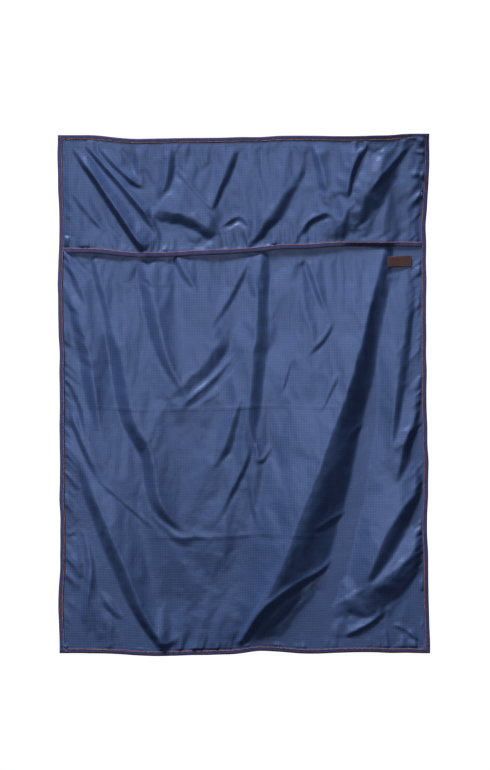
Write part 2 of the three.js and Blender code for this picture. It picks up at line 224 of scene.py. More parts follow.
BODY_FOLDS = [
    # left side
    fold([(-0.98, 0.225), (-0.89, 0.28), (-0.82, 0.345)], [5, 6, 3], 22, 13, 1.2, (0.1, 0.4)),
    fold([(-0.80, 0.230), (-0.74, 0.31), (-0.70, 0.37)], [4, 5, 2], 26, 14, 1.2, (0.1, 0.4)),
    fold([(-0.97, 0.27), (-0.85, 0.40), (-0.80, 0.50), (-0.757, 0.60)],
         [6, 11, 10, 4], 50, [13, 22, 22, 15], 1.1),
    fold([(-0.73, 0.340), (-0.66, 0.42), (-0.594, 0.541), (-0.50, 0.605), (-0.447, 0.702), (-0.28, 0.768)],
         [6, 11, 13, 13, 11, 5], 80, [20, 27, 28, 24, 22, 14], 1.1, (0.15, 0.15)),
    fold([(-0.53, 0.225), (-0.46, 0.33), (-0.40, 0.42), (-0.30, 0.50)], [7, 10, 7, 3], 60,
         [22, 30, 24, 16], 1.2, (0.12, 0.3)),
    fold([(-0.54, 0.267), (-0.50, 0.277), (-0.458, 0.292)], 2.2, 9, 4, 0.7),
    fold([(-0.36, 0.222), (-0.30, 0.26), (-0.22, 0.30)], [4, 5, 2], 36, 14, 1.2, (0.1, 0.4)),
    fold([(-0.96, 0.470), (-0.88, 0.525), (-0.85, 0.59)], 4, 12, 8),
    fold([(-0.95, 0.520), (-0.87, 0.595), (-0.79, 0.662)], [4, 8, 5], 18, 9, 1.0),
    fold([(-0.82, 0.655), (-0.637, 0.707), (-0.46, 0.760)], 2.6, 24, 7, 0.8),
    fold([(-0.43, 0.748), (-0.34, 0.770), (-0.12, 0.768), (0.08, 0.766)],
         [2, 4, 4, 2], [20, 36, 40, 24], [8, 22, 36, 16], 0.8, (0.15, 0.2)),
    fold([(-0.99, 0.772), (-0.92, 0.766), (-0.86, 0.770)], 3, 9, 7, 0.8),
    fold([(-0.90, 0.620), (-0.80, 0.70), (-0.70, 0.785), (-0.616, 0.850), (-0.518, 0.926), (-0.40, 0.995)],
         [8, 17, 22, 23, 21, 13], [26, 50, 60, 60, 44], [12, 27, 34, 34, 28, 18], 1.1, (0.2, 0.05)),
    fold([(-0.90, 0.730), (-0.84, 0.80), (-0.83, 0.86), (-0.87, 0.95)], [4, 6, 6, 3], 18, 14, 1.3),
    fold([(-0.80, 0.865), (-0.714, 0.905), (-0.589, 0.945), (-0.43, 0.990)],
         [3, 6, 6, 4], 26, 17, 1.1, (0.3, 0.1)),
    # middle
    fold([(-0.45, 0.510), (-0.279, 0.455), (-0.17, 0.411), (-0.03, 0.345)],
         [3, 5, 6, 3], [40, 54, 50], [16, 30, 26], 1.1, (0.25, 0.3)),
    fold([(-0.38, 0.528), (-0.214, 0.480), (-0.094, 0.438), (0.01, 0.390)], [2, 4.5, 3.5, 2], 10, 16, 0.6),
    fold([(-0.20, 0.375), (-0.061, 0.298), (0.05, 0.225)], [2, 4, 4], 40, 14, 1.0),
    fold([(-0.05, 0.650), (0.010, 0.56), (0.050, 0.44), (0.075, 0.33), (0.100, 0.205)], [3, 6, 8, 9, 7], 80,
         [20, 28, 30, 27, 22], 1.1, (0.3, 0.1)),
    fold([(-0.19, 0.645), (-0.105, 0.590), (-0.05, 0.53), (0.01, 0.49)],
         [3, 6, 5, 2], 40, [12, 20, 18, 12], 1.0),
    fold([(-0.13, 0.735), (-0.08, 0.686), (0.01, 0.620), (0.05, 0.560)], [2, 3.5, 3, 2], 22, 12, 1.0),
    fold([(0.02, 0.540), (0.06, 0.600), (0.09, 0.628), (0.18, 0.585)], 2.4, 14, 8, 0.8),
    fold([(0.03, 0.660), (0.05, 0.710), (0.08, 0.760)], 2.4, 14, 7, 0.8),
    fold([(0.36, 0.235), (0.42, 0.300), (0.47, 0.345)], [4, 6, 3], 30, 12, 1.0, (0.1, 0.3)),
    fold([(0.34, 0.425), (0.43, 0.390), (0.50, 0.350)], [2, 4, 3], 26, 10, 1.2),
    fold([(0.28, 0.375), (0.31, 0.40), (0.33, 0.43)], 2, 12, 6, 0.8),
    fold([(0.20, 0.505), (0.235, 0.465), (0.27, 0.42)], 2.6, 14, 6, 0.8),
    fold([(0.40, 0.540), (0.47, 0.490), (0.53, 0.445)], 2.5, 20, 9, 1.0),
    # the main fold, from under the flap at the right down to the bottom seam
    fold([(-0.06, 0.990), (0.11, 0.900), (0.195, 0.835), (0.32, 0.715), (0.46, 0.585), (0.575, 0.479),
          (0.665, 0.362), (0.775, 0.213), (0.79, 0.190)],
         [13, 27, 34, 33, 30, 25, 19, 11, 7], [80, 110, 130, 110, 80, 70],
         [32, 72, 108, 104, 76, 54, 42, 32, 26], 0.85, (0.1, 0.05), 0.65),
    fold([(-0.05, 0.985), (0.11, 0.916), (0.27, 0.868), (0.43, 0.834), (0.53, 0.795)],
         [4, 7, 9, 10, 5], [12, 18, 22, 14], [16, 18, 15, 13, 10], 0.8, (0.05, 0.25)),
    fold([(0.36, 0.765), (0.471, 0.742), (0.558, 0.722), (0.62, 0.680)], 4, 18, 8, 0.8),
    fold([(0.56, 0.590), (0.61, 0.566), (0.70, 0.545)], 2.6, 16, 7, 0.8),
    # right side
    fold([(0.78, 0.640), (0.83, 0.500), (0.873, 0.40), (0.93, 0.27)], [3, 7, 7, 4], 40, [14, 18, 16], 1.2),
    fold([(0.81, 0.680), (0.875, 0.590), (0.99, 0.50)], [6, 12, 9], 34, [14, 24, 14], 1.0, (0.3, 0.05)),
    fold([(0.64, 0.880), (0.70, 0.820), (0.80, 0.750), (0.99, 0.655)], [7, 16, 17, 10], [60, 100, 80],
         [14, 34, 40, 24], 1.0, (0.16, 0.05), 0.6),
    fold([(0.34, 0.945), (0.50, 0.905), (0.68, 0.868), (0.84, 0.830), (0.93, 0.795), (0.99, 0.755)],
         [4, 8, 15, 21, 19, 11], [50, 90, 120, 70], [14, 34, 60, 70, 54, 26], 0.9, (0.35, 0.05), 0.65),
    fold([(0.50, 0.972), (0.65, 0.946), (0.80, 0.912)], [4, 8, 4], 16, 16, 0.8),
    fold([(0.76, 0.944), (0.84, 0.949), (0.91, 0.965), (1.0, 0.993)], 4, 16, 8, 0.8, (0.3, 0.05)),
    fold([(0.84, 0.880), (0.90, 0.910), (0.97, 0.955)], 3, 20, 14),
]
CREASE_HEIGHT = 0.9 * MM
CREASE_REACH = 2.6 * MM
# where the bag was once folded for storage: (share of the height, from and to shares of the half width)
PACKING_CREASES = [(0.283, -0.75, 0.1), (0.523, -0.9, 0.6), (0.771, -0.6, 0.55)]


def along_crest(values, s):
    """A fold's size at shares s of its length."""
    values = np.atleast_1d(np.array(values, float))
    if len(values) == 1:
        return np.full_like(s, values[0])
    return np.interp(s, np.linspace(0, 1, len(values)), values)


def crest_line(points, count=48):
    """A smooth line through the points (Catmull-Rom), in metres on the flat pattern."""
    p = np.array([(u * HALF, -v * HEIGHT) for u, v in points])
    p = np.vstack([2 * p[0] - p[1], p, 2 * p[-1] - p[-2]])
    s = np.linspace(0, len(p) - 3 - 1e-9, count)
    i = s.astype(int)
    t = (s - i)[:, None]
    a, b, c, d = p[i], p[i + 1], p[i + 2], p[i + 3]
    return 0.5 * (2 * b + (c - a) * t + (2 * a - 5 * b + 4 * c - d) * t**2 + (3 * b - a - 3 * c + d) * t**3)


def fold_height(one, x, z):
    """How far one fold lifts the cloth at x, z."""
    line = crest_line(one["points"])
    reach = MM * (np.max(one["lit"]) + np.max(one["shaded"]))
    near = (x > line[:, 0].min() - reach) & (x < line[:, 0].max() + reach)
    near &= (z > line[:, 1].min() - reach) & (z < line[:, 1].max() + reach)
    lift = np.zeros_like(x)
    px, pz = x[near], z[near]
    if not len(px):
        return lift
    best = np.full(px.shape, np.inf)
    side = np.zeros_like(px)
    share = np.zeros_like(px)
    steps = np.diff(line, axis=0)
    lengths = np.concatenate([[0], np.cumsum(np.hypot(*steps.T))])
    for (ax, az), (dx, dz), start in zip(line, steps, lengths):
        size = math.hypot(dx, dz)
        t = np.clip(((px - ax) * dx + (pz - az) * dz) / size**2, 0, 1)
        offx, offz = px - ax - t * dx, pz - az - t * dz
        distance = np.hypot(offx, offz)
        closer = distance < best
        best[closer] = distance[closer]
        side[closer] = (offx * dz - offz * dx)[closer]
        share[closer] = ((start + t * size) / lengths[-1])[closer]
    fade = smooth(share / one["fade"][0]) * smooth((1 - share) / one["fade"][1])
    narrow = 0.6 + 0.4 * fade
    lit = MM * along_crest(one["lit"], share) * narrow
    shaded = MM * along_crest(one["shaded"], share) * narrow
    falling = np.clip(best / shaded, 0, 1) ** one["lean"]
    hollow = np.clip(1 - (best - shaded) / lit, 0, 1) ** 2
    above = one["above"]
    in_shade = np.where(best < shaded, above - smooth(falling), (above - 1) * hollow)
    in_light = above * np.clip(1 - best / lit, 0, 1) ** 2
    profile = np.where(side > 0, in_shade, in_light)
    lift[near] = MM * along_crest(one["height"], share) * profile * fade
    return lift


def folds_height(folds, x, z):
    return sum(fold_height(one, x, z) for one in folds)


def creases_height(x, z):
    lift = np.zeros_like(x)
    u = x / HALF
    for down, start, end in PACKING_CREASES:
        line = -down * HEIGHT + 1.5 * MM * ripple(x, 0.08, int(down * 1000))
        span = smooth((u - start) / 0.15) * smooth((end - u) / 0.15)
        lift += span * CREASE_HEIGHT * np.exp(-np.abs(z - line) / CREASE_REACH)
    return lift


# ---------------- puckers along the seams
PUCKER_PITCH = 6 * MM
PUCKER_HEIGHT = 3.0 * MM
PUCKER_LENGTH = 16 * MM
SIDE_SLANT = 0.9  # the side seams' puckers of the front panel fall this much as they run inwards


def puckers(along, away, seed, slant=0.0):
    """Short ridges that run out of a seam. along is the place on the seam and away the distance from it."""
    away = np.clip(away, 0, None)
    slanted = along + away * (slant + 0.35 * ripple(along, 0.09, seed + 1))
    fine = ripple(slanted, PUCKER_PITCH, seed)
    broad = ripple(slanted, 2.7 * PUCKER_PITCH, seed + 2)
    strength = 0.35 + 0.65 * smooth(ripple(along, 0.06, seed + 3) + 0.5)
    start = smooth(away / (3 * MM))
    length = PUCKER_LENGTH * (1 + 0.6 * ripple(along, 0.02, seed + 4))
    fade_fine = np.exp(-((away / length) ** 1.5))
    fade_broad = np.exp(-((away / (2.2 * length)) ** 1.5))
    return PUCKER_HEIGHT * start * strength * (fine * fade_fine + 1.1 * broad * fade_broad)


def seam_distances(x, z):
    """Distances from the left, right, top and bottom seams."""
    return x + FIELD_HALF, FIELD_HALF - x, -TAPE - z, z - (TAPE - HEIGHT)


def crown(distances, reach=CROWN_REACH):
    """0 on the seams, rising to 1 away from all of them."""
    total = 1.0
    for away in distances:
        total = total * (1 - np.exp(-np.clip(away, 0, None) / reach))
    return total


# ---------------- how far each panel stands off its seams
BODY_DEPTH = 1.12  # the folds of each panel are this much deeper than listed
FLAP_DEPTH = 1.15
BODY_HOLD = 16 * MM  # how far from a seam the folds have their full depth
FLAP_HOLD = 12 * MM
FLAP_TOP_HOLD = 24 * MM
HEM_HOLD = 18 * MM
HEM_SHARE = 0.6  # of the folds' depth, left at the hem
UNDER_FLAP_SHARE = 0.2  # of the front panel's folds, left where the flap presses it flat
UNDER_FLAP_CROWN = 0.15  # the same for its crown
NARROW_RIGHT = 0.4  # how much of the flap's crown is lost towards the right


def front_height(x, z):
    left, right, _, bottom = seam_distances(x, z)
    held = smooth(nearest(left, right, bottom) / BODY_HOLD)
    below_hem = -z - FLAP_DROP
    under_flap = UNDER_FLAP_SHARE + (1 - UNDER_FLAP_SHARE) * smooth((below_hem + 40 * MM) / (46 * MM))
    lift = FRONT_CROWN * crown((left, right)) * crown([bottom], LOW_REACH)
    lift *= UNDER_FLAP_CROWN + (1 - UNDER_FLAP_CROWN) * smooth((below_hem + 20 * MM) / (200 * MM))
    lift += held * under_flap * (BODY_DEPTH * folds_height(BODY_FOLDS, x, z) + creases_height(x, z))
    lift += held * 0.5 * MM * waves(x, z, 0.13, 9, 11) + held * 0.25 * MM * waves(x, z, 0.035, 9, 12)
    lift += puckers(z, left, 20, SIDE_SLANT) + puckers(z, right, 30, SIDE_SLANT) + puckers(x, bottom, 40)
    return np.maximum(lift, -1 * MM)


MOUTH_GAP = 2.6 * MM  # from the front panel to the flap, enough for the bound mouth between them
HEM_GAP = 1.6 * MM  # the same at the hem, where there is nothing between them
GAP_REACH = 30 * MM  # below the mouth's tape, over which the one gap becomes the other
HEM_STAND = 4 * MM  # how far the hem stands forward over the ridge at the right
STAND_REACH = 140 * MM  # how far up the flap it does so


def hem_stand(x):
    """Over the ridge at the right the hem stands forward and tips inwards."""
    u = x / HALF
    return HEM_STAND * smooth((u - 0.52) / 0.08) * smooth((0.87 - u) / 0.1)


def flap_height(x, z):
    left, right, top, _ = seam_distances(x, z)
    to_hem = z + FLAP_DROP - TAPE
    held = smooth(nearest(left, right) / FLAP_HOLD) * smooth(top / FLAP_TOP_HOLD)
    to_right = smooth((x / HALF - 0.3) / 0.5)
    lift = FLAP_CROWN * crown((left, right)) * crown([top], FLAP_REACH) * (1 - NARROW_RIGHT * to_right)
    near_hem = HEM_SHARE + (1 - HEM_SHARE) * smooth(to_hem / HEM_HOLD)
    lift += held * FLAP_DEPTH * folds_height(FLAP_FOLDS, x, z) * near_hem
    lift += held * 0.8 * MM * waves(x, z, 0.11, 9, 13) + held * 0.25 * MM * waves(x, z, 0.03, 9, 14)
    lift += puckers(z, left, 50) + puckers(z, right, 60) + puckers(x, top, 70) * (0.5 + 1.1 * to_right)
    lift += puckers(x, np.maximum(to_hem, 0), 80) * 0.8
    gap = MOUTH_GAP + (HEM_GAP - MOUTH_GAP) * smooth((-z - MOUTH_DROP - TAPE) / GAP_REACH)
    under = front_height(x, np.minimum(z, -MOUTH_DROP)) + gap
    under += hem_stand(x) * smooth(1 - to_hem / STAND_REACH)
    free = smooth(nearest(left, right, top) / FLAP_HOLD)
    under = under * smooth((-z - 0.5 * MOUTH_DROP) / (0.5 * MOUTH_DROP)) * free
    return soft_max(np.maximum(lift, LAYER), under, 2 * MM * free)


def back_height(x, z):
    left, right, top, bottom = seam_distances(x, z)
    held = smooth(nearest(left, right, top, bottom) / BODY_HOLD)
    lift = BACK_CROWN * crown((left, right, top, bottom))
    lift += held * 1.6 * MM * waves(x, z, 0.17, 9, 15) + held * 0.3 * MM * waves(x, z, 0.04, 9, 16)
    lift += puckers(z, left, 21) + puckers(z, right, 31) + puckers(x, bottom, 41) + puckers(x, top, 71)
    return np.maximum(lift, 0)


# ---------------- materials
def new_material(name, base, roughness, sheen=0.0, specular=0.5):
    """A Principled material and a small helper that adds and wires its nodes."""
    material = bpy.data.materials.new(name)
    material.use_nodes = True
    tree = material.node_tree
    shader = tree.nodes["Principled BSDF"]
    shader.inputs["Base Color"].default_value = (*base, 1)
    shader.inputs["Roughness"].default_value = roughness
    shader.inputs["Sheen Weight"].default_value = sheen
    shader.inputs["Specular IOR Level"].default_value = specular

    def node(kind, inputs=(), **settings):
        made = tree.nodes.new(kind)
        for key, value in settings.items():
            setattr(made, key, value)
        for key, value in dict(inputs).items():
            if isinstance(value, bpy.types.NodeSocket):
                tree.links.new(value, made.inputs[key])
            else:
                made.inputs[key].default_value = value
        return made

    return material, shader, node, tree.links.new


def math_node(node, operation, a, b=0.0, c=0.0):
    return node("ShaderNodeMath", {0: a, 1: b, 2: c}, operation=operation).outputs[0]


def mix_colour(node, share, a, b):
    made = node("ShaderNodeMix", {"Factor": share}, data_type="RGBA")
    for socket, value in ((made.inputs[6], a), (made.inputs[7], b)):
        if isinstance(value, bpy.types.NodeSocket):
            made.id_data.links.new(value, socket)
        else:
            socket.default_value = (*value, 1)
    return made.outputs[2]


def noise(node, vector, scale, detail=2.0):
    return node("ShaderNodeTexNoise", {"Vector": vector, "Scale": scale, "Detail": detail}).outputs["Fac"]


def ramp(node, value, low, high, out_low=0.0, out_high=1.0):
    inputs = {"Value": value, "From Min": low, "From Max": high, "To Min": out_low, "To Max": out_high}
    return node("ShaderNodeMapRange", inputs, interpolation_type="SMOOTHSTEP").outputs["Result"]


def grid_line(node, place, pitch, width):
    """1 on thin lines every pitch along place, and 0 between them."""
    phase = math_node(node, "PINGPONG", place, pitch / 2)
    return ramp(node, phase, 0.0, width, 1.0, 0.0)


def ripstop_material():
    """Navy nylon with a paler rib every 5 mm both ways, a fine weave between, and a soft sheen."""
    material, shader, node, link = new_material("ripstop_nylon", (0.05, 0.08, 0.24), 0.4, 0.1, 0.85)
    place = node("ShaderNodeAttribute", attribute_name="cloth").outputs["Vector"]
    split = node("ShaderNodeSeparateXYZ", {0: place})
    x, z = split.outputs[0], split.outputs[1]
    ribs = math_node(node, "MAXIMUM", grid_line(node, x, RIPSTOP_PITCH, 0.55 * MM),
                     grid_line(node, z, RIPSTOP_PITCH, 0.55 * MM))
    weave_pitch = RIPSTOP_PITCH / 12
    weave = math_node(node, "MULTIPLY", grid_line(node, x, weave_pitch, weave_pitch / 2),
                      grid_line(node, z, weave_pitch, weave_pitch / 2))
    dye = noise(node, place, 9.0, 3.0)
    stretched = node("ShaderNodeVectorMath", {0: place, 1: (900.0, 12.0, 1.0)}, operation="MULTIPLY")
    warp_streak = noise(node, stretched.outputs[0], 1.0, 1.0)
    body = mix_colour(node, ramp(node, dye, 0.3, 0.7), (0.024, 0.046, 0.118), (0.035, 0.062, 0.150))
    streaked = mix_colour(node, ramp(node, warp_streak, 0.35, 0.75, 0.0, 0.35), body, (0.044, 0.072, 0.168))
    colour = mix_colour(node, math_node(node, "MULTIPLY", ribs, 0.45), streaked, (0.090, 0.122, 0.24))
    link(colour, shader.inputs["Base Color"])
    link(ramp(node, noise(node, place, 40.0), 0.3, 0.7, 0.42, 0.48), shader.inputs["Roughness"])
    shader.inputs["Sheen Roughness"].default_value = 0.4
    shader.inputs["Sheen Tint"].default_value = (0.55, 0.65, 1.0, 1)
    shader.inputs["Specular Tint"].default_value = (0.62, 0.72, 1.0, 1)
    high_ribs = math_node(node, "MULTIPLY", ribs, 0.9)
    raised = math_node(node, "ADD", high_ribs, math_node(node, "MULTIPLY", weave, 0.35))
    crumple = node("ShaderNodeTexNoise", {"Vector": place, "Scale": 55.0, "Detail": 3.0, "Distortion": 0.6})
    soft = node("ShaderNodeBump", {"Height": crumple.outputs["Fac"], "Strength": 0.35, "Distance": 0.0012})
    bump = node("ShaderNodeBump", {"Height": raised, "Strength": 0.5, "Distance": 0.00012,
                                   "Normal": soft.outputs[0]})
    link(bump.outputs[0], shader.inputs["Normal"])
    return material


def grosgrain_material():
    """Violet-navy tape, ribbed every millimetre, paler on its face; painted shade darkens its fold, inner
    edge and rib grooves.
    """
    material, shader, node, link = new_material("grosgrain_tape", (0.04, 0.04, 0.12), 0.6, 0.25, 0.3)
    place = node("ShaderNodeAttribute", attribute_name="tape").outputs["Vector"]
    split = node("ShaderNodeSeparateXYZ", {0: place})
    along, across = split.outputs[0], split.outputs[1]
    rib = grid_line(node, along, 0.9 * MM, 0.45 * MM)
    # painted shade: the tape darkens towards its inner edge, where it meets the cloth
    edge = ramp(node, across, 0.72 * TAPE, 0.98 * TAPE)
    # painted shade on the rounded fold at the tape's outer edge, which turns away from the light
    fold_shade = ramp(node, across, 0.0, 0.3 * TAPE, 0.0, 1.0)
    mottled = ramp(node, noise(node, place, 120.0, 2.0), 0.3, 0.7)
    face = mix_colour(node, mottled, (0.034, 0.034, 0.110), (0.050, 0.048, 0.150))
    fold_shaded_face = mix_colour(node, fold_shade, (0.016, 0.018, 0.060), face)
    colour = mix_colour(node, math_node(node, "MULTIPLY", edge, 0.5), fold_shaded_face, (0.018, 0.018, 0.060))
    # painted shade in the grooves between the ribs
    link(mix_colour(node, math_node(node, "MULTIPLY", rib, 0.25), colour, (0.012, 0.012, 0.040)),
         shader.inputs["Base Color"])
    link(ramp(node, rib, 0.0, 1.0, 0.55, 0.75), shader.inputs["Roughness"])
    shader.inputs["Sheen Roughness"].default_value = 0.5
    bump = node("ShaderNodeBump", {"Height": rib, "Strength": 0.6, "Distance": 0.00018}, invert=True)
    link(bump.outputs[0], shader.inputs["Normal"])
    return material


def thread_material(name, dark, pale):
    """Twisted polyester, with its colour drifting between dark and pale, and painted shade along its twist's
    bands.
    """
    material, shader, node, link = new_material(name, dark, 0.5, 0.3, 0.5)
    place = node("ShaderNodeTexCoord").outputs["Object"]
    twist = node("ShaderNodeTexWave", {"Vector": place, "Scale": 900.0, "Distortion": 1.0},
                 wave_type="BANDS", bands_direction="DIAGONAL").outputs["Fac"]
    shade = noise(node, place, 60.0)
    tone = mix_colour(node, ramp(node, shade, 0.35, 0.65), dark, pale)
    # painted shade: the twist's bands darken towards half the dark colour, standing for its grooves
    groove_shade = tuple(0.5 * part for part in dark)
    link(mix_colour(node, math_node(node, "MULTIPLY", twist, 0.3), tone, groove_shade),
         shader.inputs["Base Color"])
    bump = node("ShaderNodeBump", {"Height": twist, "Strength": 0.5, "Distance": 0.0001})
    link(bump.outputs[0], shader.inputs["Normal"])
    return material


def leather_material():
    """Matt brown leather with pebbled grain and a burnished, darker edge."""
    material, shader, node, link = new_material("brown_leather", (0.085, 0.030, 0.020), 0.55, 0.0, 0.4)
    place = node("ShaderNodeAttribute", attribute_name="patch").outputs["Vector"]
    cells = node("ShaderNodeTexVoronoi", {"Vector": place, "Scale": 900.0}, feature="SMOOTH_F1")
    grain = cells.outputs["Distance"]
    pores = noise(node, place, 2200.0, 2.0)
    stain = noise(node, place, 90.0, 3.0)
    inside = node("ShaderNodeSeparateXYZ", {0: place}).outputs[2]
    hide = mix_colour(node, ramp(node, stain, 0.3, 0.7), (0.043, 0.017, 0.018), (0.077, 0.030, 0.029))
    creased = mix_colour(node, ramp(node, grain, 0.1, 0.6, 0.5, 0.0), hide, (0.025, 0.009, 0.007))
    link(mix_colour(node, ramp(node, inside, 0.0, 0.9 * MM, 0.75, 0.0), creased, (0.022, 0.009, 0.007)),
         shader.inputs["Base Color"])
    link(ramp(node, stain, 0.3, 0.7, 0.45, 0.62), shader.inputs["Roughness"])
    height = math_node(node, "ADD", grain, math_node(node, "MULTIPLY", pores, 0.3))
    bump = node("ShaderNodeBump", {"Height": height, "Strength": 0.5, "Distance": 0.00025})
    link(bump.outputs[0], shader.inputs["Normal"])
    return material


RIPSTOP = ripstop_material()
GROSGRAIN = grosgrain_material()
SEAM_THREAD = thread_material("copper_thread", (0.30, 0.10, 0.030), (0.50, 0.19, 0.065))
LABEL_THREAD = thread_material("brown_thread", (0.050, 0.020, 0.014), (0.085, 0.034, 0.023))
LEATHER = leather_material()


# ---------------- mesh helpers
def make_object(name, points, faces, material, attributes=()):
    mesh = bpy.data.meshes.new(name)
    mesh.from_pydata([tuple(p) for p in points], [], [tuple(f) for f in faces])
    for key, values in dict(attributes).items():
        layer = mesh.attributes.new(key, "FLOAT_VECTOR", "POINT")
        layer.data.foreach_set("vector", np.asarray(values, np.float32).ravel())
    mesh.materials.append(material)
    mesh.shade_smooth()
    mesh.update()
    return add_object(name, mesh)


def grid_faces(columns, rows):
    """Quads of a grid whose points run row by row."""
    i, j = np.meshgrid(np.arange(columns - 1), np.arange(rows - 1))
    a = (j * columns + i).ravel()
    return np.column_stack([a, a + 1, a + columns + 1, a + columns])


def sheet_faces(columns, rows):
    """Faces of a thin closed sheet: a grid of points, the same grid again behind it, and walls round both."""
    near = grid_faces(columns, rows)
    count = columns * rows
    corner = np.arange(count).reshape(rows, columns)
    rim = np.concatenate([corner[0, :-1], corner[:-1, -1], corner[-1, :0:-1], corner[:0:-1, 0]])
    after = np.roll(rim, -1)
    walls = np.column_stack([after, rim, rim + count, after + count])
    return np.vstack([near, near[:, ::-1] + count, walls])


def spread(start, end, fine, coarse, border):
    """Places from start to end, fine apart within border of either end and coarse between."""
    low = np.arange(start, start + border, fine)
    high = end - np.arange(0, border, fine)[::-1]
    steps = max(2, int(round((high[0] - low[-1]) / coarse)))
    middle = np.linspace(low[-1], high[0], steps + 1)
    return np.concatenate([low, middle[1:-1], high])


# ---------------- settling, by cloth simulation
SETTLE_GRID = 5.5 * MM
SETTLE_FRAMES = 16
SLACK = 0.009  # how much wider the cloth is than the shape it is laid in
DRAWN_BY = 6  # the frame by which the cloth, laid that much short, is drawn down to its length
LOOSE = 0.06  # how strongly the laid shape holds the cloth away from its seams
FIRM_BORDER = 14 * MM  # over which the seams' hold dies away
MOST_MOVED = 6 * MM  # a cap on how far a point may move


def settle(low, high, height, side, firm):
    """Lets a panel buckle a little under its own slack, and returns how far it moved as a function of place.

    low and high are the panel's corners as (x, z). firm(x, z) is 1 where the panel can't move and 0 where it
    is free.
    """
    counts = [int(round((b - a) / SETTLE_GRID)) + 1 for a, b in zip(low, high)]
    xs, zs = (np.linspace(a, b, count) for a, b, count in zip(low, high, counts))
    x, z = (values.ravel() for values in np.meshgrid(xs, zs))
    start = np.column_stack([x, side * height(x, z), z])
    moved = np.zeros_like(start)
    mesh = bpy.data.meshes.new("settling")
    mesh.from_pydata((start / (1, 1, 1 + SLACK)).tolist(), [], grid_faces(len(xs), len(zs)).tolist())
    sheet = add_object("settling", mesh)
    group = sheet.vertex_groups.new(name="held")
    hold = LOOSE + (1 - LOOSE) * np.clip(firm(x, z), 0, 1)
    for index, strength in enumerate(hold):
        group.add([index], float(strength), "REPLACE")
    modifier = sheet.modifiers.new("cloth", "CLOTH")
    cloth = modifier.settings
    cloth.quality = 4
    cloth.mass = 0.15
    cloth.tension_stiffness = 20
    cloth.compression_stiffness = 20
    cloth.shear_stiffness = 8
    cloth.bending_stiffness = 0.01
    cloth.air_damping = 2
    cloth.vertex_group_mass = "held"
    cloth.shrink_min = -SLACK
    sheet.shape_key_add(name="laid")
    drawn = sheet.shape_key_add(name="drawn")
    drawn.data.foreach_set("co", start.astype(np.float32).ravel())
    for number, share in ((1, 0), (DRAWN_BY, 1)):
        drawn.value = share
        drawn.keyframe_insert("value", frame=number)
    cloth.effector_weights.gravity = 0
    modifier.collision_settings.use_collision = False
    modifier.point_cache.frame_start = 1
    modifier.point_cache.frame_end = SETTLE_FRAMES
    for number in range(1, SETTLE_FRAMES + 1):
        bpy.context.scene.frame_set(number)
    result = sheet.evaluated_get(bpy.context.evaluated_depsgraph_get()).to_mesh()
    places = np.empty(3 * len(start), np.float32)
    result.vertices.foreach_get("co", places)
    moved = places.reshape(-1, 3) - start
    bpy.data.objects.remove(sheet)
    bpy.data.meshes.remove(mesh)
    bpy.context.scene.frame_set(1)
    table = np.clip(moved, -MOST_MOVED, MOST_MOVED).reshape(len(zs), len(xs), 3)

    def offset(x, z):
        column = np.clip((x - xs[0]) / (xs[1] - xs[0]), 0, len(xs) - 1.001)
        row = np.clip((z - zs[0]) / (zs[1] - zs[0]), 0, len(zs) - 1.001)
        i, j = column.astype(int), row.astype(int)
        s, t = (column - i)[:, None], (row - j)[:, None]
        lower = table[j, i] * (1 - s) + table[j, i + 1] * s
        upper = table[j + 1, i] * (1 - s) + table[j + 1, i + 1] * s
        return lower * (1 - t) + upper * t

    return offset


def firm_near(*distances):
    """1 where any of the distances is 0 or less, and 0 further than FIRM_BORDER from all of them."""
    return 1 - smooth(nearest(*distances) / FIRM_BORDER)


def front_firm(x, z):
    """Held along the seams, under the flap down to just below its hem, and behind the label."""
    left, right, _, bottom = seam_distances(x, z)
    below_hem = 1 - smooth((-z - FLAP_DROP) / (2 * FIRM_BORDER))
    low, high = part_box("leather_label")
    from_label = np.maximum.reduce([low.x - x, x - high.x, low.z - z, z - high.z])
    return np.maximum.reduce([firm_near(left, right, bottom), below_hem, firm_near(from_label)])


def flap_firm(x, z):
    left, right, top, _ = seam_distances(x, z)
    return firm_near(left, right, top, z + FLAP_DROP - TAPE)


def back_firm(x, z):
    return firm_near(*seam_distances(x, z))


FRONT_LOW, FRONT_HIGH = (-CUT_HALF, -HEIGHT + CUT_INSET), (CUT_HALF, -MOUTH_DROP - CUT_INSET)
FLAP_LOW, FLAP_HIGH = (-CUT_HALF, -FLAP_DROP + CUT_INSET), (CUT_HALF, -CUT_INSET)
BACK_LOW, BACK_HIGH = (-CUT_HALF, -HEIGHT + CUT_INSET), (CUT_HALF, -CUT_INSET)
front_settled = settle(FRONT_LOW, FRONT_HIGH, front_height, -1, front_firm)
flap_settled = settle(FLAP_LOW, FLAP_HIGH, flap_height, -1, flap_firm)
back_settled = settle(BACK_LOW, BACK_HIGH, back_height, 1, back_firm)


# ---------------- cloth panels
def front_place(x, z):
    place = np.column_stack([x, -front_height(x, z), z]) + front_settled(x, z)
    place[:, 1] = np.minimum(place[:, 1], 0)
    return place


def flap_face(x, z):
    """The flap above its tape, kept in front of the front panel."""
    place = np.column_stack([x, -LAYER - flap_height(x, z), z]) + flap_settled(x, z)
    left, right, _, _ = seam_distances(x, z)
    covers = smooth(1 - (z + MOUTH_DROP) / (14 * MM)) * smooth((nearest(left, right) - 3 * MM) / (4 * MM))
    past_mouth = smooth((-z - MOUTH_DROP - TAPE) / GAP_REACH)
    below = front_place(x, np.minimum(z, -MOUTH_DROP))[:, 1] - MOUTH_GAP + (MOUTH_GAP - HEM_GAP) * past_mouth
    place[:, 1] += covers * np.minimum(below - place[:, 1], 0)
    return place


